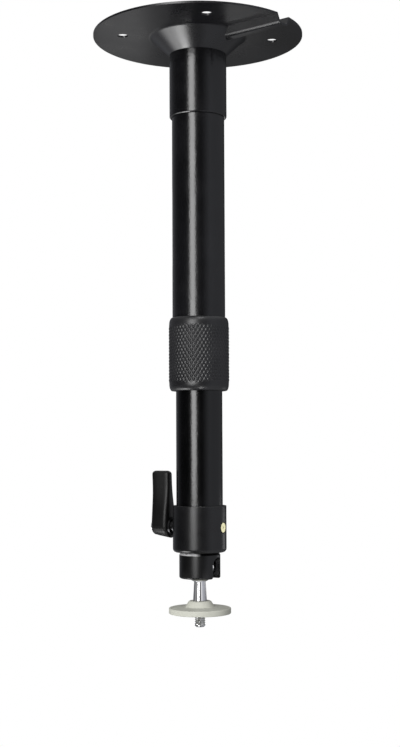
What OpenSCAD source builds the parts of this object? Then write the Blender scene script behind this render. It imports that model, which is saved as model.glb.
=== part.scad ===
// Ceiling mount on a telescopic pole, with a twist lock and a ball head.
// The origin is the centre of the plate's ceiling face, and the mount hangs down along -Z.
// All sizes are in millimetres.

/* [Ceiling plate] */
// Diameter of the round plate
plate_d = 128; // [116:1:160]
// Thickness of the pressed sheet
sheet = 1.2; // [1:0.1:2]
// Diameter of the circle that the screw holes lie on
hole_circle_d = 92; // [84:1:98]
// Number of screw holes
hole_count = 4; // [3:1:6]
// Diameter of each screw hole
hole_d = 6.5; // [4:0.1:7]
// Angle of the first screw hole, from +X
hole_turn = 6.5; // [0:0.5:30]

/* [Flare] */
// Diameter of the flare where it leaves the plate
flare_d = 58; // [52:1:64]
// Height of the flare below the sheet
flare_drop = 10.9; // [10:0.1:16]
// Radius of the bend between the plate and the flare
flare_bend = 3; // [1:0.5:4]

/* [Cable channel] */
// Width across the channel's floor, outside
channel_floor_w = 10; // [8:0.5:12]
// Width of the channel where it leaves the plate, outside
channel_mouth_w = 13.6; // [12.5:0.1:15]
// Depth of the channel below the sheet
channel_drop = 5; // [4:0.5:7]
// Radius of the channel's two floor bends, outside
channel_bend = 3; // [2.5:0.1:4]
// Radius of the rounded nose where the channel runs into the flare
channel_nose_r = 3.8; // [3:0.1:4.4]

/* [Neck] */
// Outer diameter of the collar under the flare
neck_d = 34.9; // [34.4:0.1:40]
// Length of the collar
neck_len = 39; // [30:1:60]
// Radius of the collar's lower lip
neck_lip = 1; // [0.4:0.1:1.1]
// Thread diameter of the two screws that hold the pole in the collar
neck_screw_d = 4; // [3:0.5:6]

/* [Pole] */
// Outer diameter of the upper tube
outer_tube_d = 32; // [31:0.1:33]
// Wall of the upper tube
outer_tube_wall = 1.5; // [1:0.1:1.6]
// Length of the upper tube between the collar and the lock ring
outer_tube_show = 122.4; // [80:1:300]
// Outer diameter of the lower tube
inner_tube_d = 28; // [27:0.1:28.2]
// Wall of the lower tube
inner_tube_wall = 1.5; // [1:0.1:2]
// Length of the lower tube
inner_tube_len = 210; // [205:1:215]
// Length of the lower tube that shows below the lock ring as drawn
inner_tube_show = 68.9; // [66.5:0.1:72]

/* [Lock ring] */
// Outer diameter of the ring over its knurl
ring_d = 36.6; // [36:0.1:42]
// Length of the ring
ring_len = 44.5; // [40:0.5:52]
// Radius of the ring's two rounded ends
ring_round = 2.4; // [1:0.2:3]
// Length of the smooth band at each end of the ring
ring_band = 4.6; // [3.5:0.1:8]
// Number of diamonds round the knurl
knurl_count = 50; // [36:1:60]
// Number of diamonds along the knurl
knurl_rows = 9; // [6:1:12]
// Depth of the knurl's grooves
knurl_depth = 0.5; // [0.2:0.05:0.6]
// How far the smooth bands lie below the knurl's points
band_drop = 0.25; // [0:0.05:0.5]

/* [Twist lock] */
// Length of the threaded ferrule on the end of the upper tube
ferrule_len = 14; // [10:1:16]
// Wall of the ferrule
ferrule_wall = 0.65; // [0.4:0.05:0.8]
// Length of the split collet
collet_len = 15.1; // [12:0.1:16]
// Length of the collet's straight head, above its cone
collet_head = 5.1; // [3:0.1:6]
// How much narrower the collet's small end is, on the radius
collet_taper = 1.4; // [0.8:0.1:1.6]
// Width of the collet's slits
collet_slit = 1.4; // [0.8:0.1:2]
// Number of slits in the collet
collet_slits = 6; // [4:1:10]
// Thickness of the ring's lip under the collet
ring_lip = 3.4; // [2:0.1:4]

/* [Guide bush] */
// Thickness of the guide bush's flange
bush_flange = 4; // [3:0.5:6]
// Length of the guide bush's plug in the lower tube
bush_plug = 8; // [5:0.5:12]
// Bore of the guide bush
bush_bore_d = 20; // [16:0.5:22]

/* [Head] */
// Diameter of the sleeve
sleeve_d = 32.3; // [31:0.1:35]
// Length of the sleeve
sleeve_len = 27.8; // [26.5:0.1:32]
// Radius of the sleeve's lower edge
sleeve_round = 2.2; // [1:0.1:3]
// Depth of the socket that takes the lower tube
socket_depth = 8; // [6:0.1:8.4]
// Height of the clamp screw's axis above the bottom of the sleeve
clamp_up = 14.9; // [14.6:0.1:15.2]
// Direction of the clamp lever round the pole, from +X
clamp_turn = 152; // [140:1:220]
// Outer diameter of the ball cup
cup_d = 24.7; // [24:0.1:27]
// Length of the ball cup below the sleeve
cup_len = 15.6; // [15:0.1:17]
// Diameter of the cup's threaded top
cup_thread_d = 22; // [20.5:0.1:22.8]
// Length of the cup's threaded top
cup_thread_len = 6.9; // [6:0.1:7]
// Width of the cup's notch
notch_w = 9.1; // [8.7:0.1:10]
// Height of the notch's round top above the ball's centre
notch_up = 6; // [5.5:0.1:7]
// Diameter of the cup's mouth
mouth_d = 14.6; // [13.8:0.1:15.2]

/* [Ball stud] */
// Diameter of the ball
ball_d = 18.4; // [17:0.1:18.6]
// Height of the ball's centre above the cup's lower rim
ball_up = 6.5; // [5.5:0.1:7]
// Diameter of the stud's neck at the ball
neck_top_d = 6.9; // [5:0.1:7.1]
// Diameter of the stud's neck at its shoulder
neck_low_d = 8.2; // [7.4:0.1:8.6]
// Distance from the ball's centre down to the stud's shoulder
shoulder_drop = 19.7; // [18:0.1:26]
// Diameter of the stud's thread
stud_thread_d = 6.35; // [5:0.05:6.4]
// Diameter of the thread's root, as drawn where the nut runs on it
stud_root_d = 5.4; // [4.6:0.1:5.8]
// Length of the thread that stands out below the flange nut
stud_end = 8; // [5:0.5:14]

/* [Flange nut] */
// Diameter of the nut's flange
flange_d = 37.3; // [30:0.1:44]
// Thickness of the nut's flange at its rim
flange_t = 3.4; // [2.5:0.1:5]
// Height of the flange's shallow crown
flange_crown = 0.6; // [0.2:0.1:1]
// Height of the boss above the flange
boss_h = 3.8; // [3:0.1:8]
// Diameter of the boss at its top
boss_top_d = 13; // [11:0.1:14]
// Diameter of the boss at the flange
boss_low_d = 17.4; // [15:0.1:20]

/* [Clamp] */
// Diameter of the clamp screw
screw_d = 8; // [7:0.1:8.4]
// Bore of the wedge round the clamp screw
wedge_bore_d = 8.8; // [8.6:0.1:9.4]
// Thickness of the nylon pad above the ball
pad_t = 4.3; // [3:0.1:4.6]
// Depth of the pad's skirt beside the ball
pad_skirt = 4.6; // [3:0.1:5]
// Diameter of the brass pin's head
pin_d = 5.8; // [5:0.1:6.4]
// Diameter of the centre mark in the brass pin
pin_mark_d = 1.6; // [1:0.1:3]

/* [Lever] */
// Distance from the pole's axis to the lever's inner face
lever_in = 19.2; // [18.8:0.1:20.4]
// Distance from the pole's axis to the lever's outer face
lever_out = 32.2; // [31:0.1:35]
// Radius of the lever's hub at its inner face
hub_r = 7.1; // [6.4:0.1:7.6]
// Radius of the lever's hub at its outer end
hub_out_r = 5.6; // [4.6:0.1:6.2]
// Radius of the hub's outer edge
hub_round = 3; // [1.5:0.1:3.4]
// Height of the lever's tip above the clamp screw
lever_up = 33.6; // [28:0.1:36]
// Thickness of the lever's tip, across the blade
tip_t = 6; // [4.5:0.1:9]
// Thickness of the washer under the lever's hub
washer_t = 1; // [0.6:0.1:1.2]
// Outer diameter of the washer under the lever's hub
washer_d = 10.8; // [10:0.1:12]
// Diameter of the screw that holds the lever's hub
cap_screw_d = 4; // [3:0.5:4.5]

/* [Hidden] */
$fn = 96;

// Radial clearances: a bonded or pressed seat, a thread, a running fit, and a loose fit
seat_gap = 0.05;
thread_gap = 0.1;
run_gap = 0.15;
free_gap = 0.3;
// Overshoot that carries a cut clear of the face it starts from
over = 1;

// Levels down the mount, from the ceiling face
plate_low = -sheet;
flare_low = plate_low - flare_drop;
neck_low = flare_low - neck_len;
ring_top = neck_low - outer_tube_show;
ring_low = ring_top - ring_len;
sleeve_top = ring_low - inner_tube_show;
sleeve_low = sleeve_top - sleeve_len;
clamp_z = sleeve_low + clamp_up;
cup_low = sleeve_low - cup_len;
ball_z = cup_low + ball_up;
shoulder_z = ball_z - shoulder_drop;
nut_low = shoulder_z - boss_h - flange_crown - flange_t;
stud_low = nut_low - stud_end;

// Radii that several pieces share
plate_r = plate_d / 2;
outer_r = outer_tube_d / 2;
outer_bore_r = outer_r - outer_tube_wall;
inner_r = inner_tube_d / 2;
inner_bore_r = inner_r - inner_tube_wall;
neck_r = neck_d / 2;
ring_r = ring_d / 2;
sleeve_r = sleeve_d / 2;
cup_r = cup_d / 2;
ball_r = ball_d / 2;
ball_seat_r = ball_r + run_gap;
screw_r = screw_d / 2;
pin_r = pin_d / 2;

// Flare: the cone's outer slope, and the sheet's inner face parallel to it
flare_r = flare_d / 2;
flare_slope = atan2(flare_r - neck_r, flare_drop);
flare_step = sheet / cos(flare_slope);
channel_angle = hole_turn - 180 / hole_count;

// Twist lock: levels of the ferrule, the collet and the ring's inner cone
lip_top = ring_low + ring_lip;
collet_low = lip_top + free_gap;
collet_top = collet_low + collet_len;
cone_top = collet_top - collet_head;
tube_end = collet_top + free_gap;
ferrule_room = 3.4;
thread_top = tube_end + ferrule_len + ferrule_room;
ferrule_r = outer_r + seat_gap + ferrule_wall;
ring_bore_r = ferrule_r + run_gap;
collet_r = ring_bore_r - free_gap;

// Head: bores of the sleeve, the wedge and the pad
socket_low = sleeve_top - socket_depth;
cup_thread_top = sleeve_low + cup_thread_len;
plunger_r = ball_r;
plunger_bore_r = ball_seat_r;
pad_low = ball_z + pad_skirt;
pad_top = ball_z + ball_seat_r + pad_t;
wedge_top = socket_low - seat_gap;
tube_top = socket_low + inner_tube_len;

// Clamp screw, from the lever's side towards the pole's axis
tip_in = -5;
tip_len = screw_r;
screw_grip = 7.4;
screw_out = lever_in + screw_grip;

// Screw that holds the lever: its head's radius, the depth of the head's seat, and the head's height
cap_head_r = cap_screw_d * 0.88;
cap_seat = 2.6;
cap_head_h = 2.2;
cap_key = 1;

// Points of an arc about (x, y), of radius r, from angle a to angle b in n steps
function arc(x, y, r, a, b, n) = [
    for (i = [0:n]) let (turn = a + (b - a) * i / n) [x + r * cos(turn), y + r * sin(turn)]
];

// A turned tube with rounded outer edges: lo and hi are its ends
module turned_tube(bore_r, out_r, lo, hi, round_lo, round_hi) {
    steps = 5;
    rotate_extrude()
        polygon(concat(
            [[bore_r, hi], [bore_r, lo]],
            arc(out_r - round_lo, lo + round_lo, round_lo, -90, 0, steps),
            arc(out_r - round_hi, hi - round_hi, round_hi, 0, 90, steps)
        ));
}

// Places its children on the clamp's cross axis: their Z is the way out towards the lever
module on_clamp_axis() {
    translate([0, 0, clamp_z])
        rotate([0, 90, clamp_turn])
            children();
}

// The flare and the round plate as one solid of revolution, grown down from the ceiling face
module plate_outside() {
    bend_steps = 5;
    half = (90 - flare_slope) / 2;
    reach = flare_bend * tan(half);
    rotate_extrude()
        polygon(concat(
            [[0, 0], [0, flare_low], [neck_r, flare_low]],
            arc(flare_r + reach, plate_low - flare_bend, flare_bend, 180 - flare_slope, 90, bend_steps),
            [[plate_r, plate_low], [plate_r, 0]]
        ));
}

// The hollow of the flare, open to the ceiling, with the sheet's thickness left all round
module flare_inside() {
    slope_w = tan(flare_slope);
    low_r = neck_r - flare_step;
    high_r = low_r + slope_w * (sheet + flare_drop);
    rotate_extrude()
        polygon([
            [0, over], [0, flare_low - over], [low_r - over * slope_w, flare_low - over],
            [high_r, 0], [high_r, over]
        ]);
}

// Section of the cable channel, drawn across it, shrunk by the sheet for its hollow
module channel_section(shrink) {
    floor_y = plate_low - channel_drop + shrink;
    bend = channel_bend - shrink;
    hull() {
        for (side = [-1, 1])
            translate([side * (channel_floor_w / 2 - channel_bend), floor_y + bend])
                circle(bend, $fn = 32);
        translate([-(channel_mouth_w / 2 - shrink), plate_low + shrink])
            square([channel_mouth_w - 2 * shrink, shrink == 0 ? sheet : over]);
    }
}

// The channel from the axis out past the rim
module channel_run(shrink) {
    rotate([0, 0, channel_angle])
        rotate([90, 0, 90])
            linear_extrude(plate_r + over)
                channel_section(shrink);
}

// One sheet of steel, pressed and punched
module ceiling_plate() {
    nose_out = flare_r - 5;
    nose_proud = 1;
    nose_z = plate_low - channel_drop + channel_nose_r - nose_proud;
    color([0.1, 0.1, 0.11])
        difference() {
            union() {
                plate_outside();
                intersection() {
                    channel_run(0);
                    translate([0, 0, flare_low])
                        cylinder(r = plate_r, h = -flare_low);
                }
                rotate([0, 0, channel_angle])
                    translate([nose_out, 0, nose_z])
                        sphere(channel_nose_r);
            }
            flare_inside();
            channel_run(sheet);
            for (i = [0:hole_count - 1])
                rotate([0, 0, hole_turn + i * 360 / hole_count])
                    translate([hole_circle_d / 2, 0, plate_low - over])
                        cylinder(d = hole_d, h = sheet + 2 * over);
        }
}

// The two screws sit round the back of the collar
neck_screw_turns = [62, 118];
neck_screw_z = flare_low - neck_len / 2;

module neck_screw_bore(r) {
    for (turn = neck_screw_turns)
        translate([0, 0, neck_screw_z])
            rotate([0, 90, turn])
                translate([0, 0, outer_bore_r - over])
                    cylinder(r = r, h = neck_r - outer_bore_r + 2 * over);
}

module neck_collar() {
    color([0.1, 0.1, 0.11])
        difference() {
            turned_tube(outer_r + seat_gap, neck_r, neck_low, flare_low, neck_lip, 0.2);
            neck_screw_bore(neck_screw_d / 2 + seat_gap);
        }
}

module neck_screws() {
    key_depth = 1.4;
    key_d = neck_screw_d * 0.58;
    screw_in = outer_bore_r + 0.2;
    color([0.2, 0.2, 0.21])
        for (turn = neck_screw_turns)
            translate([0, 0, neck_screw_z])
                rotate([0, 90, turn])
                    difference() {
                        translate([0, 0, screw_in])
                            cylinder(d = neck_screw_d, h = neck_r - screw_in - 0.3);
                        translate([0, 0, neck_r - 0.3 - key_depth])
                            cylinder(d = key_d, h = key_depth + over, $fn = 6);
                    }
}

module outer_tube() {
    color([0.1, 0.1, 0.11])
        difference() {
            turned_tube(outer_bore_r, outer_r, tube_end, flare_low, 0.3, 0.3);
            neck_screw_bore(neck_screw_d / 2 + seat_gap);
        }
}

module thread_ferrule() {
    color([0.45, 0.45, 0.47])
        turned_tube(outer_r + seat_gap, ferrule_r, tube_end, tube_end + ferrule_len, 0.3, 0.3);
}

// Radius of the ring's outside at height h above its lower end, before it is knurled
function ring_r_at(h) =
    let (d = max(ring_round - h, ring_round - (ring_len - h), 0))
    ring_r - ring_round + sqrt(ring_round * ring_round - d * d);
// Heights of the sections: the lower round, the knurl's rows, the upper round
knurl_h = (ring_len - 2 * ring_band) / (2 * knurl_rows);
round_steps = 4;
ring_levels = concat(
    [for (i = [0:round_steps]) ring_round * (1 - cos(90 * i / round_steps))],
    [for (i = [0:2 * knurl_rows]) ring_band + i * knurl_h],
    [for (i = [0:round_steps]) ring_len - ring_round * (1 - sin(90 * i / round_steps))]
);
// Row of the knurl at section j: its first and last rows run out into the bands
function knurl_row(j) = j - round_steps - 1;
function in_knurl(j) = knurl_row(j) > 0 && knurl_row(j) < 2 * knurl_rows;
function ring_section_r(j, k) =
    ring_r_at(ring_levels[j]) - (in_knurl(j) ? (knurl_row(j) + k) % 2 * knurl_depth : band_drop);

// Outside of the ring as one solid: points of the knurl are alternately high and low, and every
// square of four is split along the line between its two low points, which is a groove
module ring_outside() {
    sides = 2 * knurl_count;
    rings = len(ring_levels);
    points = [for (j = [0:rings - 1]) for (k = [0:sides - 1])
        let (a = 360 * k / sides, r = ring_section_r(j, k))
        [r * cos(a), r * sin(a), ring_low + ring_levels[j]]];
    faces = concat(
        [[for (k = [0:sides - 1]) k]],
        [[for (k = [0:sides - 1]) rings * sides - 1 - k]],
        [for (j = [0:rings - 2]) for (k = [0:sides - 1])
            let (
                n = (k + 1) % sides,
                a = j * sides + k,
                b = j * sides + n,
                c = (j + 1) * sides + n,
                d = (j + 1) * sides + k
            )
            each (knurl_row(j) + k) % 2 == 0 ? [[a, d, b], [b, d, c]] : [[a, c, b], [a, d, c]]]
    );
    polyhedron(points, faces);
}

// Hollow of the lock ring: a neck for the tube, the thread bore, the cone and the lip
module ring_inside() {
    undercut = 0.5;
    clear = outer_r + free_gap;
    lip_r = inner_r + free_gap + 0.1;
    rotate_extrude()
        polygon([
            [0, ring_top + over], [0, ring_low - over], [lip_r, ring_low - over], [lip_r, lip_top],
            [ring_bore_r - collet_taper, lip_top], [ring_bore_r, cone_top],
            [ring_bore_r, thread_top], [clear, thread_top - undercut], [clear, ring_top + over]
        ]);
}

module lock_ring() {
    color([0.13, 0.13, 0.14])
        difference() {
            ring_outside();
            ring_inside();
        }
}

// The slits start at the small end and stop in the straight head, and one goes right through
module collet() {
    slit_stop = 2.6;
    color([0.75, 0.75, 0.72])
        difference() {
            rotate_extrude()
                polygon([
                    [inner_r + run_gap, collet_top], [inner_r + run_gap, collet_low],
                    [collet_r - collet_taper, collet_low], [collet_r, cone_top], [collet_r, collet_top]
                ]);
            for (i = [0:collet_slits - 1])
                rotate([0, 0, i * 360 / collet_slits])
                    translate([0, -collet_slit / 2, collet_low - over])
                        cube([ring_r, collet_slit, collet_len + over + (i == 0 ? over : -slit_stop)]);
        }
}

module inner_tube() {
    color([0.08, 0.08, 0.09])
        turned_tube(inner_bore_r, inner_r, socket_low, tube_top, 0.3, 0.3);
}

// Flanged nylon bush, plugged into the top of the lower tube
module guide_bush() {
    plug_r = inner_bore_r - seat_gap;
    bush_r = outer_bore_r - run_gap;
    bore_r = bush_bore_d / 2;
    bevel = 0.5;
    color([0.8, 0.8, 0.77])
        rotate_extrude()
            polygon([
                [bore_r, tube_top + bush_flange], [bore_r, tube_top - bush_plug],
                [plug_r - bevel, tube_top - bush_plug], [plug_r, tube_top - bush_plug + 2 * bevel],
                [plug_r, tube_top], [bush_r, tube_top], [bush_r, tube_top + bush_flange - bevel],
                [bush_r - bevel, tube_top + bush_flange]
            ]);
}

// Sleeve: socket for the tube above, plunger bore in the middle, thread for the cup below
module head_sleeve() {
    pin_recess_r = pin_r + 0.5;
    pin_recess = 1;
    color([0.09, 0.09, 0.1])
        difference() {
            turned_tube(plunger_bore_r, sleeve_r, sleeve_low, sleeve_top, sleeve_round, 0.4);
            translate([0, 0, socket_low])
                cylinder(r = inner_r + seat_gap, h = socket_depth + over);
            translate([0, 0, sleeve_low - over])
                cylinder(d = cup_thread_d + 2 * seat_gap, h = cup_thread_len + over);
            on_clamp_axis()
                cylinder(r = screw_r + thread_gap, h = sleeve_r + over);
            on_clamp_axis()
                mirror([0, 0, 1])
                    cylinder(r = pin_r + seat_gap, h = sleeve_r + over);
            on_clamp_axis()
                translate([0, 0, -sleeve_r - over])
                    cylinder(r = pin_recess_r, h = pin_recess + over);
        }
}

// Cup: turned outside, bored for the ball from above, with the upright notch opposite the lever
module ball_cup() {
    top_bevel = 1.4;
    rim_round = 1.2;
    mouth_r = mouth_d / 2;
    mouth_z = ball_z - sqrt(ball_seat_r * ball_seat_r - mouth_r * mouth_r);
    arch_z = ball_z + notch_up - notch_w / 2;
    color([0.07, 0.07, 0.08])
        difference() {
            rotate_extrude()
                polygon(concat(
                    [[0, cup_thread_top], [0, cup_low]],
                    arc(cup_r - rim_round, cup_low + rim_round, rim_round, -90, 0, 5),
                    [[cup_r, sleeve_low - top_bevel], [cup_r - top_bevel, sleeve_low],
                     [cup_thread_d / 2, sleeve_low], [cup_thread_d / 2, cup_thread_top]]
                ));
            translate([0, 0, ball_z])
                sphere(ball_seat_r);
            translate([0, 0, ball_z])
                cylinder(r = ball_seat_r, h = cup_thread_top - ball_z + over);
            translate([0, 0, cup_low - over])
                cylinder(r = mouth_r, h = mouth_z - cup_low + over);
            rotate([90, 0, clamp_turn - 90])
                linear_extrude(cup_r + over)
                    union() {
                        translate([0, arch_z])
                            circle(d = notch_w);
                        translate([-notch_w / 2, cup_low - over])
                            square([notch_w, arch_z - cup_low + over]);
                    }
        }
}

module ball_pad() {
    color([0.8, 0.8, 0.77])
        difference() {
            translate([0, 0, pad_low])
                cylinder(r = plunger_r, h = pad_top - pad_low);
            translate([0, 0, ball_z])
                sphere(ball_seat_r);
        }
}

// Plunger with a cross bore that ends in a cone: the screw's tip drives it down on the pad
module clamp_wedge() {
    wedge_r = wedge_bore_d / 2;
    color([0.6, 0.6, 0.62])
        difference() {
            translate([0, 0, pad_top])
                cylinder(r = plunger_r, h = wedge_top - pad_top);
            on_clamp_axis()
                translate([0, 0, tip_in + tip_len])
                    cylinder(r = wedge_r, h = plunger_r + over - tip_in - tip_len);
            on_clamp_axis()
                translate([0, 0, tip_in + tip_len - wedge_r])
                    cylinder(r1 = 0, r2 = wedge_r, h = wedge_r);
            on_clamp_axis()
                translate([0, 0, -plunger_r - over])
                    cylinder(r = pin_r - 0.2, h = plunger_r + over + tip_in - 1.6);
        }
}

module clamp_screw() {
    bore = 6;
    color([0.7, 0.7, 0.72])
        on_clamp_axis()
            difference() {
                union() {
                    translate([0, 0, tip_in + tip_len])
                        cylinder(r = screw_r, h = screw_out - tip_in - tip_len);
                    translate([0, 0, tip_in])
                        cylinder(r1 = 0, r2 = screw_r, h = tip_len);
                }
                translate([0, 0, screw_out - bore])
                    cylinder(d = cap_screw_d + 2 * seat_gap, h = bore + over);
            }
}

module lever_washer() {
    color([0.08, 0.08, 0.09])
        on_clamp_axis()
            translate([0, 0, lever_in - washer_t])
                difference() {
                    cylinder(d = washer_d, h = washer_t);
                    translate([0, 0, -over])
                        cylinder(r = screw_r + seat_gap, h = washer_t + 2 * over);
                }
}

// Lever: h is the height above the clamp screw, u the distance from the pole's axis.
// The hub is a cone round the screw that narrows outwards and ends in a rounded edge.
hub_flat = lever_out - hub_round;
function ease(t) = t * t * (3 - 2 * t);
function hub_at(u) =
    let (past = u - hub_flat)
    past > 0 ? hub_out_r - hub_round + sqrt(max(hub_round * hub_round - past * past, 0)) :
    hub_r + (hub_out_r - hub_r) * (u - lever_in) / (hub_flat - lever_in);
// Half the lever's thickness across the blade. Below the screw it is the hub's round, and above the
// screw it thins to the tip.
blade_share = 0.8;
function lever_half(u, h) =
    let (full = hub_at(u))
    h < 0 ?
    sqrt(max(full * full - h * h, 0)) :
    full + (tip_t / 2 - full) * ease(min(h / (lever_up * blade_share), 1));
// Its two faces, seen from the side: the inner face leans out towards the tip, and the outer one
// dips in its middle.
lever_lean = 0.9;
lever_dip = 0.5;
end_round = 2.2;
function end_shy(h) =
    let (d = max(h - (lever_up - end_round), 0) / end_round)
    end_round * (1 - sqrt(max(1 - d * d, 0)));
function lever_in_at(h) = lever_in + lever_lean * max(h, 0) / lever_up + end_shy(h);
function lever_out_at(h) =
    let (d = -h, edge = d - hub_out_r + hub_round)
    h > 0 ? lever_out - lever_dip * sin(180 * h / lever_up) - end_shy(h) :
    edge < 0 ? lever_out :
    d < hub_out_r ? hub_flat + sqrt(hub_round * hub_round - edge * edge) :
    hub_flat + (lever_in + 1 - hub_flat) * (d - hub_out_r) / (hub_r - hub_out_r);
// Levels of the sections: close together at the rounded ends
lever_levels = concat(
    [for (i = [0:8]) -hub_r * cos(90 * i / 8)],
    [for (i = [1:9]) (lever_up - end_round) * i / 9],
    [for (i = [1:5]) lever_up - end_round + end_round * sin(18 * i)]
);
section_sides = 40;
// Rounding of the section: a flat inner side, a fuller outer one
inner_power = 0.35;
outer_power = 0.65;
side_power = 0.5;
function signed_power(v, p) = sign(v) * pow(abs(v), p);
function lever_section(h) =
    let (lo = lever_in_at(h), hi = lever_out_at(h))
    [for (k = [0:section_sides - 1])
        let (
            a = 360 * k / section_sides,
            u = (lo + hi) / 2 + (hi - lo) / 2 * signed_power(cos(a), cos(a) < 0 ? inner_power : outer_power),
            half = max(lever_half(u, h) - end_shy(h), 0.3)
        )
        [u, half * signed_power(sin(a), side_power), h]];

// Moulded lever: a blade lofted from the hub to the tip
module lever_body() {
    rings = len(lever_levels);
    sides = section_sides;
    points = [for (h = lever_levels) each lever_section(h)];
    faces = concat(
        [[for (k = [0:sides - 1]) k]],
        [[for (k = [0:sides - 1]) rings * sides - 1 - k]],
        [for (j = [0:rings - 2]) for (k = [0:sides - 1])
            let (n = (k + 1) % sides)
            each [[j * sides + k, (j + 1) * sides + k, j * sides + n],
                  [j * sides + n, (j + 1) * sides + k, (j + 1) * sides + n]]]
    );
    polyhedron(points, faces);
}

module clamp_lever() {
    color([0.05, 0.05, 0.055])
        difference() {
            translate([0, 0, clamp_z])
                rotate([0, 0, clamp_turn])
                    lever_body();
            on_clamp_axis()
                translate([0, 0, lever_in - over])
                    cylinder(r = screw_r + seat_gap, h = screw_out - lever_in + over);
            on_clamp_axis()
                cylinder(d = cap_screw_d + free_gap, h = lever_out + over);
            on_clamp_axis()
                translate([0, 0, lever_out - cap_seat])
                    cylinder(r = cap_head_r + run_gap, h = cap_seat + over);
        }
}

module lever_screw() {
    thread_len = 5;
    bite = 0.1;
    color([0.6, 0.6, 0.62])
        on_clamp_axis()
            difference() {
                union() {
                    translate([0, 0, screw_out - thread_len])
                        cylinder(d = cap_screw_d, h = lever_out - cap_seat - screw_out + thread_len + bite);
                    translate([0, 0, lever_out - cap_seat])
                        cylinder(r = cap_head_r, h = cap_head_h);
                }
                translate([0, 0, lever_out - cap_seat + cap_head_h - cap_key])
                    cylinder(d = cap_screw_d * 0.7, h = cap_key + over, $fn = 6);
            }
}

// Brass pin: its tip keeps the wedge from turning
module retaining_pin() {
    tip_r = pin_r - 0.5;
    tip_gap = 2;
    head_in = plunger_bore_r + 0.2;
    head_out = sleeve_r - 0.2;
    mark_r = pin_mark_d / 2;
    color([0.85, 0.75, 0.4])
        on_clamp_axis()
            mirror([0, 0, 1])
                difference() {
                    union() {
                        translate([0, 0, head_in])
                            cylinder(r = pin_r, h = head_out - head_in);
                        translate([0, 0, tip_gap - tip_in])
                            cylinder(r = tip_r, h = head_in + tip_in - tip_gap);
                    }
                    translate([0, 0, head_out - mark_r])
                        cylinder(r1 = 0, r2 = mark_r + over, h = mark_r + over);
                }
}

// Ball, conical neck and threaded end turned from one bar
module ball_stud() {
    end_bevel = 0.8;
    thread_r = stud_thread_d / 2;
    color([0.8, 0.8, 0.82])
        union() {
            translate([0, 0, ball_z])
                sphere(ball_r);
            rotate_extrude()
                polygon([
                    [0, ball_z], [neck_top_d / 2, ball_z], [neck_top_d / 2, ball_z - ball_r],
                    [neck_low_d / 2, shoulder_z], [stud_root_d / 2, shoulder_z],
                    [stud_root_d / 2, nut_low - free_gap], [thread_r, nut_low - free_gap],
                    [thread_r, stud_low + end_bevel], [thread_r - end_bevel, stud_low], [0, stud_low]
                ]);
        }
}

// Thumb nut: a round boss that tapers up from a broad flange with a shallow crown. Its thread is
// countersunk from below.
module flange_nut() {
    bore_r = stud_root_d / 2 + thread_gap;
    entry_r = stud_thread_d / 2 + free_gap;
    flange_top = nut_low + flange_t;
    crown_top = flange_top + flange_crown;
    boss_top = shoulder_z - free_gap;
    rim = 0.5;
    edge = 0.3;
    color([0.8, 0.8, 0.72])
        rotate_extrude()
            polygon(concat(
                [[bore_r, boss_top], [bore_r, nut_low + entry_r - bore_r], [entry_r, nut_low]],
                arc(flange_d / 2 - rim, nut_low + rim, rim, -90, 0, 3),
                arc(flange_d / 2 - rim, flange_top - rim, rim, 0, 75, 3),
                [[boss_low_d / 2 + edge, crown_top], [boss_low_d / 2, crown_top + edge],
                 [boss_top_d / 2 + edge, boss_top - edge], [boss_top_d / 2 - edge, boss_top]]
            ));
}

ceiling_plate();
neck_collar();
neck_screws();
outer_tube();
thread_ferrule();
lock_ring();
collet();
inner_tube();
guide_bush();
head_sleeve();
ball_cup();
ball_pad();
clamp_wedge();
clamp_screw();
lever_washer();
clamp_lever();
lever_screw();
retaining_pin();
ball_stud();
flange_nut();
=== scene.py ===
import bmesh
import bpy
from math import atan2, cos, degrees, pi, radians, sin, tan
import numpy as np
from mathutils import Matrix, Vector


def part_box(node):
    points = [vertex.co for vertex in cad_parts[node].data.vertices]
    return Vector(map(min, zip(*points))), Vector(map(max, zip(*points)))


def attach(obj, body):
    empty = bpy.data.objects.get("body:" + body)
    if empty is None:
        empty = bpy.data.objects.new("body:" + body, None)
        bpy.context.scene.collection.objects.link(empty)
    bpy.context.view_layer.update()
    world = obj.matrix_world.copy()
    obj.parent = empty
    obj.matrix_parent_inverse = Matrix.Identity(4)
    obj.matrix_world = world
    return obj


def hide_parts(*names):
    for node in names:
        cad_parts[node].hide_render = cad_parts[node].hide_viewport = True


# The mount hangs from its ceiling plate, whose ceiling face is the level z = 0, down along -Z.
# Everything below is in metres, in the order in which the mount is put together.
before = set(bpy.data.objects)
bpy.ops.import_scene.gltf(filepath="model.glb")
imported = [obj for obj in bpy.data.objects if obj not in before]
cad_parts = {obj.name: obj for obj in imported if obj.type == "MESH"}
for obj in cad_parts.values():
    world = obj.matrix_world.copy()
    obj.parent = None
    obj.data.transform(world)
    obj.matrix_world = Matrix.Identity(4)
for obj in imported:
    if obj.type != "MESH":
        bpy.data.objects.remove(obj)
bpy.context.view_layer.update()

# Camera
# It stands in front of the pole, level with the lower tube, and looks up a little, so that the plate is
# seen from below. Pitch, roll and the angle of view are in degrees.
VIEW_HEIGHT = -0.2476
VIEW_DISTANCE = 0.771
VIEW_SIDE = 0.0004
VIEW_PITCH = 2.99
VIEW_ROLL = 0.23
VIEW_TALL = 32.66
FILM_SIDE = 36.0

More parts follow.
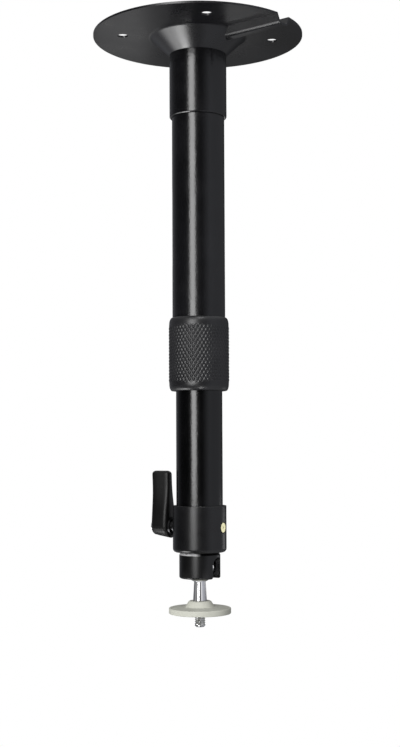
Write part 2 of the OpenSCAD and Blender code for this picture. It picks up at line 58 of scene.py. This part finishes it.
camera_data = bpy.data.cameras.new("portrait_camera")
camera_data.sensor_fit = "AUTO"
camera_data.sensor_width = FILM_SIDE
camera_data.lens = FILM_SIDE / 2 / tan(radians(VIEW_TALL / 2))
camera = bpy.data.objects.new("portrait_camera", camera_data)
camera.location = (VIEW_SIDE, -VIEW_DISTANCE, VIEW_HEIGHT)
camera.rotation_euler = (radians(90 + VIEW_PITCH), radians(VIEW_ROLL), 0)
bpy.context.scene.collection.objects.link(camera)
bpy.context.scene.camera = camera
bpy.context.scene.view_settings.view_transform = "Standard"


# Studio
# A tall strip lamp left of the camera makes the long highlight; small lamps round the mount model its
# rounded edges, its flare, its plate and its bright stud. The surround is white to the camera.
def add_lamp(name, turn, distance, height, wide, tall, power, aim=None, spread=180):
    """An area lamp at an angle from straight in front of the pole; positive turns go to the right.
    It faces the pole at its own level, or at the level aim, and its beam is spread degrees wide."""
    lamp_data = bpy.data.lights.new(name, "AREA")
    lamp_data.shape = "RECTANGLE"
    lamp_data.size = wide
    lamp_data.size_y = tall
    lamp_data.energy = power
    lamp_data.spread = radians(spread)
    lamp = bpy.data.objects.new(name, lamp_data)
    turn = radians(turn)
    lamp.location = (distance * sin(turn), -distance * cos(turn), height)
    drop = 0 if aim is None else atan2(height - aim, distance)
    lamp.rotation_euler = (radians(90) - drop, 0, turn)
    lamp.visible_camera = False
    bpy.context.scene.collection.objects.link(lamp)


def add(tree, kind, inputs=(), **settings):
    """One shader node. inputs maps its sockets to plain values or to the sockets that feed them."""
    made = tree.nodes.new("ShaderNode" + kind)
    for setting, value in settings.items():
        setattr(made, setting, value)
    for socket, value in dict(inputs).items():
        if isinstance(value, bpy.types.NodeSocket):
            tree.links.new(value, made.inputs[socket])
        else:
            made.inputs[socket].default_value = value
    return made


def calculate(tree, operation, *values):
    """The result socket of one Math node."""
    return add(tree, "Math", dict(enumerate(values)), operation=operation).outputs[0]


def ramp(tree, value, low, high, low_result, high_result):
    """The result socket of a Map Range node with soft ends: low_result at low, high_result at high."""
    inputs = {0: value, 1: low, 2: high, 3: low_result, 4: high_result}
    return add(tree, "MapRange", inputs, interpolation_type="SMOOTHSTEP").outputs[0]


def blend(tree, share, first, second, kind="MIX"):
    """The result socket of a Mix node for colours: first where share is 0, second where it is 1. With the
    kind ADD it is first plus that share of second."""
    inputs = {0: share, 6: first, 7: second}
    return add(tree, "Mix", inputs, data_type="RGBA", blend_type=kind).outputs[2]


add_lamp("strip_lamp", turn=-26, distance=1.2, height=0.09, wide=0.5, tall=0.92, power=12.7)
add_lamp("top_lamp", turn=6, distance=0.6, height=0.5, wide=0.15, tall=0.1, power=1.6, aim=-0.25)
add_lamp("flare_lamp", turn=-80, distance=0.3, height=-0.58, wide=0.22, tall=0.16, power=0.19,
         aim=0.0, spread=60)
add_lamp("front_lamp", turn=8, distance=0.42, height=-0.58, wide=0.12, tall=0.12, power=0.016,
         aim=-0.2, spread=24)
add_lamp("channel_lamp", turn=-104, distance=0.34, height=-0.36, wide=0.3, tall=0.24, power=0.08,
         aim=0.0, spread=44)
add_lamp("rear_card", turn=-163.3, distance=0.209, height=-0.085, wide=0.045, tall=0.06, power=0.0045)
add_lamp("rear_right_card", turn=171.5, distance=0.202, height=-0.105, wide=0.03, tall=0.03, power=0.0027)
add_lamp("stud_left_card", turn=-75, distance=0.035, height=-0.3395, wide=0.06, tall=0.02, power=0.0003,
         spread=90)
add_lamp("stud_right_card", turn=27, distance=0.035, height=-0.3395, wide=0.018, tall=0.02, power=0.00016,
         spread=90)
add_lamp("pin_card", turn=124, distance=0.3, height=-0.33, wide=0.08, tall=0.05, power=0.015)

DIFFUSE_LEVEL = 0.32
# What a gloss sees round the mount: turns in degrees from straight in front, with their levels
GLOSS_ROUND = (
    (-180, 0.02), (-165, 0.07), (-150, 0.26), (-123, 0.12), (-100, 0.03), (-60, 0.01), (0, 0.01), (16, 0.03),
    (35, 0.32), (50, 0.55), (90, 0.42), (120, 0.26), (150, 0.08), (165, 0.03), (180, 0.02))
GLOSS_TINT = (0.96, 0.98, 1.06)
# What it sees above and below, and the rise of the sight line over which each comes in
GLOSS_ABOVE = 0.5
GLOSS_BELOW = 0.12
RISE_ABOVE = (0.35, 0.8)
RISE_BELOW = (-0.12, -0.35)

world = bpy.data.worlds.new("white_surround")
bpy.context.scene.world = world
world.use_nodes = True
sky = world.node_tree
sky.nodes.clear()
path = add(sky, "LightPath").outputs
way = add(sky, "SeparateXYZ", {0: add(sky, "TexCoord").outputs["Generated"]}).outputs
turn = calculate(sky, "ARCTAN2", way["X"], calculate(sky, "MULTIPLY", way["Y"], -1.0))
turn = calculate(sky, "MULTIPLY_ADD", turn, 1 / (2 * pi), 0.5)
round_levels = add(sky, "ValToRGB", {0: turn})
stops = round_levels.color_ramp.elements
for number, (stop_turn, stop_level) in enumerate(GLOSS_ROUND):
    place = stop_turn / 360 + 0.5
    stop = stops[number] if number < 2 else stops.new(place)
    stop.position = place
    stop.color = (*(stop_level * tint for tint in GLOSS_TINT), 1)
above = ramp(sky, way["Z"], *RISE_ABOVE, 0, GLOSS_ABOVE)
below = ramp(sky, way["Z"], *RISE_BELOW, 0, GLOSS_BELOW)
gloss = blend(sky, 1.0, round_levels.outputs[0], calculate(sky, "ADD", above, below), kind="ADD")
seen = calculate(sky, "ADD", path["Is Camera Ray"], path["Is Transmission Ray"])
seen = calculate(sky, "MULTIPLY_ADD", path["Is Diffuse Ray"], DIFFUSE_LEVEL, seen)
level = blend(sky, path["Is Glossy Ray"], seen, gloss)
surround = add(sky, "Background", {"Color": level, "Strength": 1.0})
sky.links.new(surround.outputs[0], add(sky, "OutputWorld").inputs["Surface"])

# Grid points closer than this become one
MERGE_DISTANCE = 1e-7


def surface(name, points, wrap_rows=False, sharp=35):
    """A mesh through a grid of points (rows, columns, 3). Neighbours are joined by four-sided faces, the last
    column joins the first, as the last row does where it wraps, and a row that is one point closes a pole.
    Edges that turn more than sharp degrees stay sharp."""
    rows, columns = points.shape[:2]
    numbers = np.arange(rows * columns).reshape(rows, columns)
    if wrap_rows:
        numbers = np.vstack([numbers, numbers[:1]])
    numbers = np.hstack([numbers, numbers[:, :1]])
    corners = (numbers[:-1, :-1], numbers[:-1, 1:], numbers[1:, 1:], numbers[1:, :-1])
    faces = np.stack(corners, axis=-1).reshape(-1, 4)
    mesh = bpy.data.meshes.new(name)
    mesh.from_pydata(points.reshape(-1, 3).tolist(), [], faces.tolist())
    shape = bmesh.new()
    shape.from_mesh(mesh)
    bmesh.ops.remove_doubles(shape, verts=shape.verts, dist=MERGE_DISTANCE)
    shape.to_mesh(mesh)
    shape.free()
    piece = bpy.data.objects.new(name, mesh)
    bpy.context.scene.collection.objects.link(piece)
    mesh.polygons.foreach_set("use_smooth", np.ones(len(mesh.polygons), dtype=bool))
    mesh.set_sharp_from_angle(angle=radians(sharp))
    return piece


# Floor
# A pale round floor well below the mount. It keeps the soft shadow, turns as white as the surround
# further out, and thins to nothing at its edge.
FLOOR_LEVEL = -0.62
FLOOR_RADIUS = 2.2
FLOOR_RINGS = 12
FLOOR_SIDES = 96
FLOOR_GREY = 0.7
# How white the floor looks near the mount, and the distances over which it turns white and clear
WHITE_NEAR = 0.62
WHITE_REACH = (0.3, 1.1)
CLEAR_REACH = (1.2, 2.1)

radii, turns = np.meshgrid(
    np.linspace(0, FLOOR_RADIUS, FLOOR_RINGS), np.linspace(0, 2 * pi, FLOOR_SIDES, endpoint=False),
    indexing="ij")
disc = np.stack([radii * np.cos(turns), radii * np.sin(turns), np.full_like(radii, FLOOR_LEVEL)], axis=-1)
floor = surface("floor", disc)

floor_material = bpy.data.materials.new("pale_floor")
floor_material.use_nodes = True
tree = floor_material.node_tree
tree.nodes.clear()
path = add(tree, "LightPath").outputs
place = add(tree, "SeparateXYZ", {0: add(tree, "TexCoord").outputs["Object"]}).outputs
away = calculate(tree, "SQRT", calculate(
    tree, "ADD", calculate(tree, "POWER", place["X"], 2.0), calculate(tree, "POWER", place["Y"], 2.0)))
lit = add(tree, "BsdfDiffuse", {"Color": (FLOOR_GREY, FLOOR_GREY, FLOOR_GREY, 1)})
white = add(tree, "Emission", {"Color": (1, 1, 1, 1), "Strength": 1})
clear = add(tree, "BsdfTransparent")
whiteness = ramp(tree, away, *WHITE_REACH, WHITE_NEAR, 1)
shown_white = calculate(tree, "MULTIPLY", path["Is Camera Ray"], whiteness)
shown = add(tree, "MixShader", {0: shown_white, 1: lit.outputs[0], 2: white.outputs[0]})
from_below = add(tree, "NewGeometry").outputs["Backfacing"]
hidden = calculate(tree, "MAXIMUM", from_below, ramp(tree, away, *CLEAR_REACH, 0, 1))
faded = add(tree, "MixShader", {0: hidden, 1: shown.outputs[0], 2: clear.outputs[0]})
tree.links.new(faded.outputs[0], add(tree, "OutputMaterial").inputs["Surface"])
floor.data.materials.append(floor_material)


# Ceiling plate
# One disc of steel sheet, pressed with a conical flare and a cable channel, punched with four holes.
# Black powder coat: fine orange peel under a soft gloss.
def new_group(name, **takes):
    """An empty shader group for a finish. takes names its inputs with their kinds: Color, Float or Vector.
    It gives out a surface's colour, roughness and height."""
    group = bpy.data.node_groups.new(name, "ShaderNodeTree")
    for label, kind in takes.items():
        group.interface.new_socket(name=label, in_out="INPUT", socket_type="NodeSocket" + kind)
    for label, kind in (("Color", "Color"), ("Roughness", "Float"), ("Height", "Float")):
        group.interface.new_socket(name=label, in_out="OUTPUT", socket_type="NodeSocket" + kind)
    return group, group.nodes.new("NodeGroupInput").outputs, group.nodes.new("NodeGroupOutput").inputs


def finish(name, group, depth, values, **constants):
    """A material that shows a group's colour and roughness, and its height as bumps depth deep. values go to
    the group's inputs, and constants to the shader's own sockets."""
    material = bpy.data.materials.new(name)
    material.use_nodes = True
    tree = material.node_tree
    shader = tree.nodes["Principled BSDF"]
    for socket, value in constants.items():
        shader.inputs[socket.replace("_", " ")].default_value = value
    shown = add(tree, "Group", values, node_tree=group).outputs
    bump = add(tree, "Bump", {"Height": shown["Height"], "Distance": depth, "Strength": 1})
    tree.links.new(shown["Color"], shader.inputs["Base Color"])
    tree.links.new(shown["Roughness"], shader.inputs["Roughness"])
    tree.links.new(bump.outputs[0], shader.inputs["Normal"])
    return material


# Peel is the slow waviness of the coat, grain its fine specks, haze the clouds in its tone and gloss
COAT_HAZE_SCALE = 45
GRAIN_FINER = 2.7
GRAIN_SPECKS = (0.52, 0.72)
GRAIN_TONE = 0.55
HAZE_CLOUDS = (0.4, 0.75)
HAZE_TONE = 0.35
HAZE_ROUGH = 0.16
GRAIN_ROUGH = 0.1
MIDDLE_ROUGH = 0.13
GRAIN_HEIGHT = 0.35

coat_group, takes, gives = new_group("powder_coat", Black="Color", Grey="Color", Peel="Float", Gloss="Float")
spot = add(coat_group, "TexCoord").outputs["Object"]
peel = add(coat_group, "TexNoise", {"Vector": spot, "Scale": takes["Peel"], "Detail": 2}).outputs["Fac"]
grain_scale = calculate(coat_group, "MULTIPLY", takes["Peel"], GRAIN_FINER)
grain = add(coat_group, "TexNoise", {"Vector": spot, "Scale": grain_scale, "Detail": 1}).outputs["Fac"]
haze = add(coat_group, "TexNoise", {"Vector": spot, "Scale": COAT_HAZE_SCALE, "Detail": 4}).outputs["Fac"]
tone = calculate(coat_group, "MULTIPLY_ADD", ramp(coat_group, grain, *GRAIN_SPECKS, 0, 1), GRAIN_TONE,
                 ramp(coat_group, haze, *HAZE_CLOUDS, 0, HAZE_TONE))
coat_group.links.new(blend(coat_group, tone, takes["Black"], takes["Grey"]), gives["Color"])
rough = calculate(coat_group, "MULTIPLY_ADD", haze, HAZE_ROUGH, takes["Gloss"])
rough = calculate(coat_group, "MULTIPLY_ADD", grain, GRAIN_ROUGH, rough)
coat_group.links.new(calculate(coat_group, "SUBTRACT", rough, MIDDLE_ROUGH), gives["Roughness"])
coat_group.links.new(calculate(coat_group, "MULTIPLY_ADD", grain, GRAIN_HEIGHT, peel), gives["Height"])


def powder_coat(name, black, grey, peel, gloss, depth):
    """A powder-coated or anodised finish: noise of scale peel sets its waves, depth is their height, and a
    smaller gloss value is a shinier coat."""
    values = {"Black": (*black, 1), "Grey": (*grey, 1), "Peel": peel, "Gloss": gloss}
    return finish(name, coat_group, depth, values)


def dress(material, *names):
    """Gives CAD nodes their finish, through their own material slots."""
    for name in names:
        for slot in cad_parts[name].material_slots:
            slot.material = material


plate_coat = powder_coat(
    "plate_coat", black=(0.004, 0.004, 0.005), grey=(0.014, 0.014, 0.016), peel=800, gloss=0.3, depth=0.00001)
dress(plate_coat, "ceiling_plate")

# Neck collar and its two grub screws
# A thick turned collar welded under the flare, powder coated like the upper tube, which ends inside it.
# Two zinc-plated steel screws at its back clamp that tube.
tube_coat = powder_coat(
    "tube_coat", black=(0.003, 0.003, 0.0035), grey=(0.01, 0.01, 0.0115), peel=560, gloss=0.21, depth=0.00005)
dress(tube_coat, "neck_collar")

# Marks are what the tool or the brush left in the metal, haze the clouds in its tone and gloss
METAL_HAZE_SCALE = 120
MARKS_ROUGH = 0.12
METAL_HAZE_ROUGH = 0.08
# The darkest and the palest cloud, as shares of the metal's colour
METAL_DULL = 0.8
METAL_PALE = 1.12

metal_group, takes, gives = new_group(
    "bare_metal", Dull="Color", Pale="Color", Gloss="Float", Stretch="Vector")
spot = add(metal_group, "TexCoord").outputs["Object"]
stretched = add(metal_group, "Mapping", {"Vector": spot, "Scale": takes["Stretch"]}).outputs[0]
marks = add(metal_group, "TexNoise", {"Vector": stretched, "Scale": 1, "Detail": 3}).outputs["Fac"]
haze = add(metal_group, "TexNoise", {"Vector": spot, "Scale": METAL_HAZE_SCALE, "Detail": 3}).outputs["Fac"]
metal_group.links.new(blend(metal_group, haze, takes["Dull"], takes["Pale"]), gives["Color"])
rough = calculate(metal_group, "MULTIPLY_ADD", marks, MARKS_ROUGH, takes["Gloss"])
rough = calculate(metal_group, "MULTIPLY_ADD", haze, METAL_HAZE_ROUGH, rough)
metal_group.links.new(rough, gives["Roughness"])
metal_group.links.new(marks, gives["Height"])


def metal(name, color, gloss, stretch, depth):
    """Bare metal with turned or brushed marks: their noise is finest along the axis of the largest stretch,
    and depth is their height."""
    dull = tuple(c * METAL_DULL for c in color)
    pale = tuple(min(1, c * METAL_PALE) for c in color)
    values = {"Dull": (*dull, 1), "Pale": (*pale, 1), "Gloss": gloss, "Stretch": stretch}
    return finish(name, metal_group, depth, values, Metallic=1.0)


# Turning marks, as fine rings round the upright axis
LATHE_MARKS = (200, 200, 5000)
zinc_steel = metal(
    "zinc_steel", color=(0.55, 0.55, 0.56), gloss=0.25, stretch=LATHE_MARKS, depth=0.000008)
dress(zinc_steel, "neck_screws")

# Tubes
# Two drawn aluminium tubes; the thinner one slides and turns in the other. The upper one is powder
# coated and ends in a threaded ferrule of plated steel, the lower one is anodised to a deeper black.
dress(tube_coat, "outer_tube")
dress(zinc_steel, "thread_ferrule")
inner_anodised = powder_coat(
    "inner_anodised", black=(0.0005, 0.0005, 0.0006), grey=(0.003, 0.003, 0.0035),
    peel=560, gloss=0.21, depth=0.00005)
dress(inner_anodised, "inner_tube")


# Lock ring
# Turned aluminium, diamond knurled between two smooth bands and black anodised. It runs on the
# thread of the upper tube's ferrule and squeezes the collet onto the lower tube.
def arc(centre_r, centre_z, wide, tall, start, end, steps):
    """Points (r, z) on an ellipse's arc, for angles from start to end in degrees, counted from outwards to
    up: r is centre_r plus wide times the cosine of the angle, z is centre_z plus tall times its sine."""
    angles = np.radians(np.linspace(start, end, steps + 1))
    return np.stack([centre_r + wide * np.cos(angles), centre_z + tall * np.sin(angles)], axis=-1)


def turned(radii, heights, angles):
    """Points of a form round the upright axis: x is the radius times the cosine of the angle, y is the radius
    times its sine, and z is the height. Radii and heights may change with the row and with the angle."""
    radii, heights, angles = np.broadcast_arrays(radii, heights, angles)
    return np.stack([radii * np.cos(angles), radii * np.sin(angles), heights], axis=-1)


KNURL_ROUND = 50
KNURL_ROWS = 9
KNURL_DEPTH = 0.00045
KNURL_STEPS = 8
# The smooth bands: their height, how far they lie below the knurl's points, and where the knurl runs out
BAND = 0.0046
BAND_DROP = 0.00025
RUN_OUT = 0.0012
# The rounds at both ends of the ring
END_ROUND = 0.0018
END_TALL = 0.0042
END_STEPS = 14
# Its hollow: radii of the lip, of the cone's small end, of the thread bore and of the neck
LIP_R = 0.0144
CONE_LOW_R = 0.01545
THREAD_R = 0.01685
NECK_R = 0.0163
# Heights of the lip's top, the cone's top and the thread's top above the ring's lower end
LIP_TOP = 0.0034
CONE_TOP = 0.0137
THREAD_TOP = 0.0365
UNDERCUT = 0.0005

ring_corner, ring_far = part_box("lock_ring")
ring_low = ring_corner.z
ring_high = ring_far.z
ring_radius = ring_far.x
band_r = ring_radius - BAND_DROP
ring_turns = np.linspace(0, 2 * pi, KNURL_ROUND * KNURL_STEPS, endpoint=False)[None, :]


def knurl(angles, heights):
    """Radius of the knurl. Two families of grooves climb round it in opposite ways, each where the sine of
    its own angle is nought. The crest between them is the product of the two sines, without its sign: it
    is 1 at a point and 0 in a groove. The radius is the ring's, less the depth times what the crest lacks
    of 1, and it runs out into the bands at both ends."""
    along = (heights - ring_low - BAND) / (ring_high - ring_low - 2 * BAND)
    across = KNURL_ROUND * angles / 2
    up = KNURL_ROWS * pi * along
    crest = np.abs(np.sin(across + up) * np.sin(across - up))
    edge = np.minimum(heights - ring_low, ring_high - heights) - BAND
    share = np.clip(edge / RUN_OUT, 0, 1)
    return band_r + share * (ring_radius - KNURL_DEPTH * (1 - crest) - band_r)


knurl_heights = np.linspace(ring_low + BAND, ring_high - BAND, KNURL_ROWS * KNURL_STEPS * 2 + 1)[:, None]
profile_low = np.vstack([
    [[LIP_R, ring_low + LIP_TOP], [LIP_R, ring_low]],
    arc(band_r - END_ROUND, ring_low + END_TALL, END_ROUND, END_TALL, -90, 0, END_STEPS)])
profile_high = np.vstack([
    arc(band_r - END_ROUND, ring_high - END_TALL, END_ROUND, END_TALL, 0, 90, END_STEPS),
    [[NECK_R, ring_high], [NECK_R, ring_low + THREAD_TOP - UNDERCUT], [THREAD_R, ring_low + THREAD_TOP],
     [THREAD_R, ring_low + CONE_TOP], [CONE_LOW_R, ring_low + LIP_TOP]]])
ring_points = np.concatenate([
    turned(profile_low[:, :1], profile_low[:, 1:], ring_turns),
    turned(knurl(ring_turns, knurl_heights), knurl_heights, ring_turns),
    turned(profile_high[:, :1], profile_high[:, 1:], ring_turns)])
knurled_ring = surface("knurled_ring", ring_points, wrap_rows=True, sharp=50)
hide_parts("lock_ring")
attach(knurled_ring, "lock")

ring_anodised = powder_coat(
    "ring_anodised", black=(0.006, 0.006, 0.007), grey=(0.02, 0.02, 0.0215),
    peel=1400, gloss=0.36, depth=0.00001)
dress(ring_anodised, "lock_ring")
knurled_ring.data.materials.append(ring_anodised)

# Nylon parts
# The slit collet in the lock ring, the bush on top of the lower tube and the pad on the ball, all
# turned from natural nylon. The bush is plugged into its tube; what lies round the others holds them.
CLOUD_SCALE = 90
CLOUD_ROUGH = 0.14
SPECK_SCALE = 1500
SPECK_DEPTH = 0.000012
# The darkest and the lightest cloud, as shares of the plastic's colour
PLASTIC_DARK = 0.86
PLASTIC_LIGHT = 1.1

plastic_group, takes, gives = new_group("plain_plastic", Dark="Color", Light="Color", Gloss="Float")
spot = add(plastic_group, "TexCoord").outputs["Object"]
cloud = add(plastic_group, "TexNoise", {"Vector": spot, "Scale": CLOUD_SCALE, "Detail": 3}).outputs["Fac"]
grain = add(plastic_group, "TexNoise", {"Vector": spot, "Scale": SPECK_SCALE, "Detail": 1}).outputs["Fac"]
plastic_group.links.new(blend(plastic_group, cloud, takes["Dark"], takes["Light"]), gives["Color"])
rough = calculate(plastic_group, "MULTIPLY_ADD", cloud, CLOUD_ROUGH, takes["Gloss"])
plastic_group.links.new(rough, gives["Roughness"])
plastic_group.links.new(grain, gives["Height"])


def plastic(name, color, gloss, **constants):
    """Plain plastic: its colour and gloss are slightly cloudy, and a fine grain sets its height."""
    dark = tuple(c * PLASTIC_DARK for c in color)
    light = tuple(min(1, c * PLASTIC_LIGHT) for c in color)
    values = {"Dark": (*dark, 1), "Light": (*light, 1), "Gloss": gloss}
    return finish(name, plastic_group, SPECK_DEPTH, values, **constants)


nylon = plastic("natural_nylon", color=(0.72, 0.71, 0.66), gloss=0.4)
dress(nylon, "collet", "guide_bush", "ball_pad")

# Head
# A turned sleeve on the lower tube, and the ball cup that screws into it, both coated black. The cup's
# sharp edges are broken, and a pale painted highlight lies along its upper edge on the left, lever side. A
# plunger of plated steel inside the sleeve presses on the ball.
CUP_BEVEL = 0.0004
EDGE_ANGLE = 40
EDGE_STEPS = 3
FLAT_ANGLE = 1
NODE_MERGE = 1e-6


def softened(name, piece_name, width):
    """A copy of a CAD node as one closed skin. Flat stretches become single faces, and edges that turn more
    than EDGE_ANGLE degrees get a round bevel of that width."""
    mesh = bpy.data.meshes.new(piece_name)
    shape = bmesh.new()
    shape.from_mesh(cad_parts[name].data)
    bmesh.ops.remove_doubles(shape, verts=shape.verts, dist=NODE_MERGE)
    bmesh.ops.dissolve_limit(shape, angle_limit=radians(FLAT_ANGLE), verts=shape.verts, edges=shape.edges)
    for face in shape.faces:
        face.smooth = True
    shape.to_mesh(mesh)
    shape.free()
    if "custom_normal" in mesh.attributes:
        mesh.attributes.remove(mesh.attributes["custom_normal"])
    piece = bpy.data.objects.new(piece_name, mesh)
    bpy.context.scene.collection.objects.link(piece)
    bevel = piece.modifiers.new("broken_edges", "BEVEL")
    bevel.width = width
    bevel.segments = EDGE_STEPS
    bevel.limit_method = "ANGLE"
    bevel.angle_limit = radians(EDGE_ANGLE)
    bevel.use_clamp_overlap = False
    piece.modifiers.new("even_shading", "WEIGHTED_NORMAL")
    return piece


head_coat = powder_coat(
    "head_coat", black=(0.003, 0.003, 0.0035), grey=(0.011, 0.011, 0.012),
    peel=1200, gloss=0.28, depth=0.000012)
dress(head_coat, "head_sleeve")
dress(zinc_steel, "clamp_wedge")
cup_coat = powder_coat(
    "cup_coat", black=(0.0005, 0.0005, 0.0006), grey=(0.004, 0.004, 0.0045),
    peel=1200, gloss=0.3, depth=0.000012)

# The painted highlight on the cup's upper edge, a pale band that stands in for light caught there: heights
# from the sleeve's lower end over which it comes in, then places along X over which it comes in towards the
# left, lever side, then the noise that breaks it up, with its least strength
HIGHLIGHT_HEIGHTS = (-0.0018, -0.0012)
HIGHLIGHT_PLACES = (0.001, -0.003)
HIGHLIGHT_NOISE_SCALE = 500
HIGHLIGHT_NOISE_BAND = (0.3, 0.5)
HIGHLIGHT_LEAST = 0.4
HIGHLIGHT_PALE = (0.75, 0.75, 0.76, 1)

tree = cup_coat.node_tree
spot = add(tree, "TexCoord").outputs["Object"]
place = add(tree, "SeparateXYZ", {0: spot}).outputs
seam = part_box("head_sleeve")[0].z
on_edge = ramp(tree, place["Z"], seam + HIGHLIGHT_HEIGHTS[0], seam + HIGHLIGHT_HEIGHTS[1], 0, 1)
highlight_side = ramp(tree, place["X"], *HIGHLIGHT_PLACES, 0, 1)
highlight_breakup = add(tree, "TexNoise", {"Vector": spot, "Scale": HIGHLIGHT_NOISE_SCALE, "Detail": 2}).outputs["Fac"]
highlight_breakup = ramp(tree, highlight_breakup, *HIGHLIGHT_NOISE_BAND, HIGHLIGHT_LEAST, 1)
# Painted highlight: the cup's coat turns pale along its upper edge on the left, standing in for light caught
# there
painted_highlight = calculate(tree, "MULTIPLY", calculate(tree, "MULTIPLY", on_edge, highlight_side), highlight_breakup)
cup_color = tree.nodes["Principled BSDF"].inputs["Base Color"]
tree.links.new(blend(tree, painted_highlight, cup_color.links[0].from_socket, HIGHLIGHT_PALE), cup_color)
dress(cup_coat, "ball_cup")

cup_skin = softened("ball_cup", "cup_skin", CUP_BEVEL)
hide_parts("ball_cup")
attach(cup_skin, "pole")
cup_skin.data.materials.append(cup_coat)

# Clamp lever
# One black plastic moulding, a blade that grows up out of a round hub. Its hub sits on the end of the
# clamp screw, where the plated lever screw holds it. Clamp screw and washer are blackened steel.
lever_plastic = plastic("lever_plastic", color=(0.003, 0.003, 0.003), gloss=0.34, Specular_IOR_Level=0.32)
dress(lever_plastic, "clamp_lever")
dress(zinc_steel, "lever_screw")
black_steel = metal(
    "black_steel", color=(0.05, 0.05, 0.052), gloss=0.22, stretch=LATHE_MARKS, depth=0.000008)
dress(black_steel, "lever_washer", "clamp_screw")

# Retaining pin
# A turned brass pin in the side of the sleeve, opposite the lever. Its tip keeps the wedge in the
# sleeve from turning, and its fine marks run every way.
pin_brass = metal(
    "pin_brass", color=(0.86, 0.82, 0.5), gloss=0.15, stretch=(3000, 3000, 3000), depth=0.000006)
dress(pin_brass, "retaining_pin")

# Ball stud
# Ball, conical neck and threaded end turned from one steel bar and polished. The thread shows below
# the flange nut; under the nut the bar is drawn at the thread's root.

# Radii of the neck at the ball and at its shoulder, which lies SHOULDER_DROP below the ball's middle
NECK_TOP_R = 0.00345
NECK_LOW_R = 0.0041
SHOULDER_DROP = 0.0197
# The thread's outer radius and that of the plain stretch under the nut, its pitch and its depth of cut
STUD_R = 0.003175
ROOT_R = 0.0027
STUD_PITCH = 0.00127
STUD_CUT = 0.00055
# The bevel at the stud's free end, and the room that the thread leaves below the nut
STUD_BEVEL = 0.0008
NUT_ROOM = 0.0003
# Steps of the grid: along one turn of the thread, round the stud, and from the neck over the ball
STUD_TURN_STEPS = 8
STUD_SIDES = 48
BALL_STEPS = 24

stud_corner, stud_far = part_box("ball_stud")
ball_r = stud_far.x
ball_z = stud_far.z - ball_r
thread_low = stud_corner.z + STUD_BEVEL
thread_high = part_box("flange_nut")[0].z - NUT_ROOM
stud_turns = np.linspace(0, 2 * pi, STUD_SIDES, endpoint=False)[None, :]


def stud_thread(angles, heights):
    """Radius of a thread. The place in the groove is the height over the pitch less the angle over a full
    turn, without its whole part, so the groove climbs one pitch a turn. The cut is deepest, STUD_CUT, at
    the middle of that place, falls evenly to nought at both sides, and runs out at both ends."""
    place = np.mod(heights / STUD_PITCH - angles / (2 * pi), 1)
    depth = 1 - np.abs(2 * place - 1)
    run_out = np.clip(np.minimum(heights - thread_low, thread_high - heights) / STUD_PITCH, 0, 1)
    return STUD_R - STUD_CUT * depth * run_out


thread_rows = int((thread_high - thread_low) / STUD_PITCH * STUD_TURN_STEPS)
thread_heights = np.linspace(thread_low, thread_high, thread_rows)[:, None]
end_profile = np.array([[0, stud_corner.z], [STUD_R - STUD_BEVEL, stud_corner.z]])
neck_angle = degrees(np.arcsin(NECK_TOP_R / ball_r)) - 90
shoulder_z = ball_z - SHOULDER_DROP
neck_profile = np.vstack([
    [[ROOT_R, thread_high], [ROOT_R, shoulder_z], [NECK_LOW_R, shoulder_z]],
    arc(0, ball_z, ball_r, ball_r, neck_angle, 90, BALL_STEPS)])
stud_points = np.concatenate([
    turned(end_profile[:, :1], end_profile[:, 1:], stud_turns),
    turned(stud_thread(stud_turns, thread_heights), thread_heights, stud_turns),
    turned(neck_profile[:, :1], neck_profile[:, 1:], stud_turns)])
threaded_stud = surface("threaded_stud", stud_points)
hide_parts("ball_stud")
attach(threaded_stud, "stud")

polished_steel = metal(
    "polished_steel", color=(0.78, 0.78, 0.79), gloss=0.05, stretch=(300, 300, 4000), depth=0.000003)
dress(polished_steel, "ball_stud")
threaded_stud.data.materials.append(polished_steel)

# Flange nut
# A thumb nut moulded in pale plastic: a round tapered boss on a broad thin flange. It runs on the
# stud's thread.
nut_plastic = plastic("nut_plastic", color=(0.55, 0.555, 0.49), gloss=0.42)
dress(nut_plastic, "flange_nut")
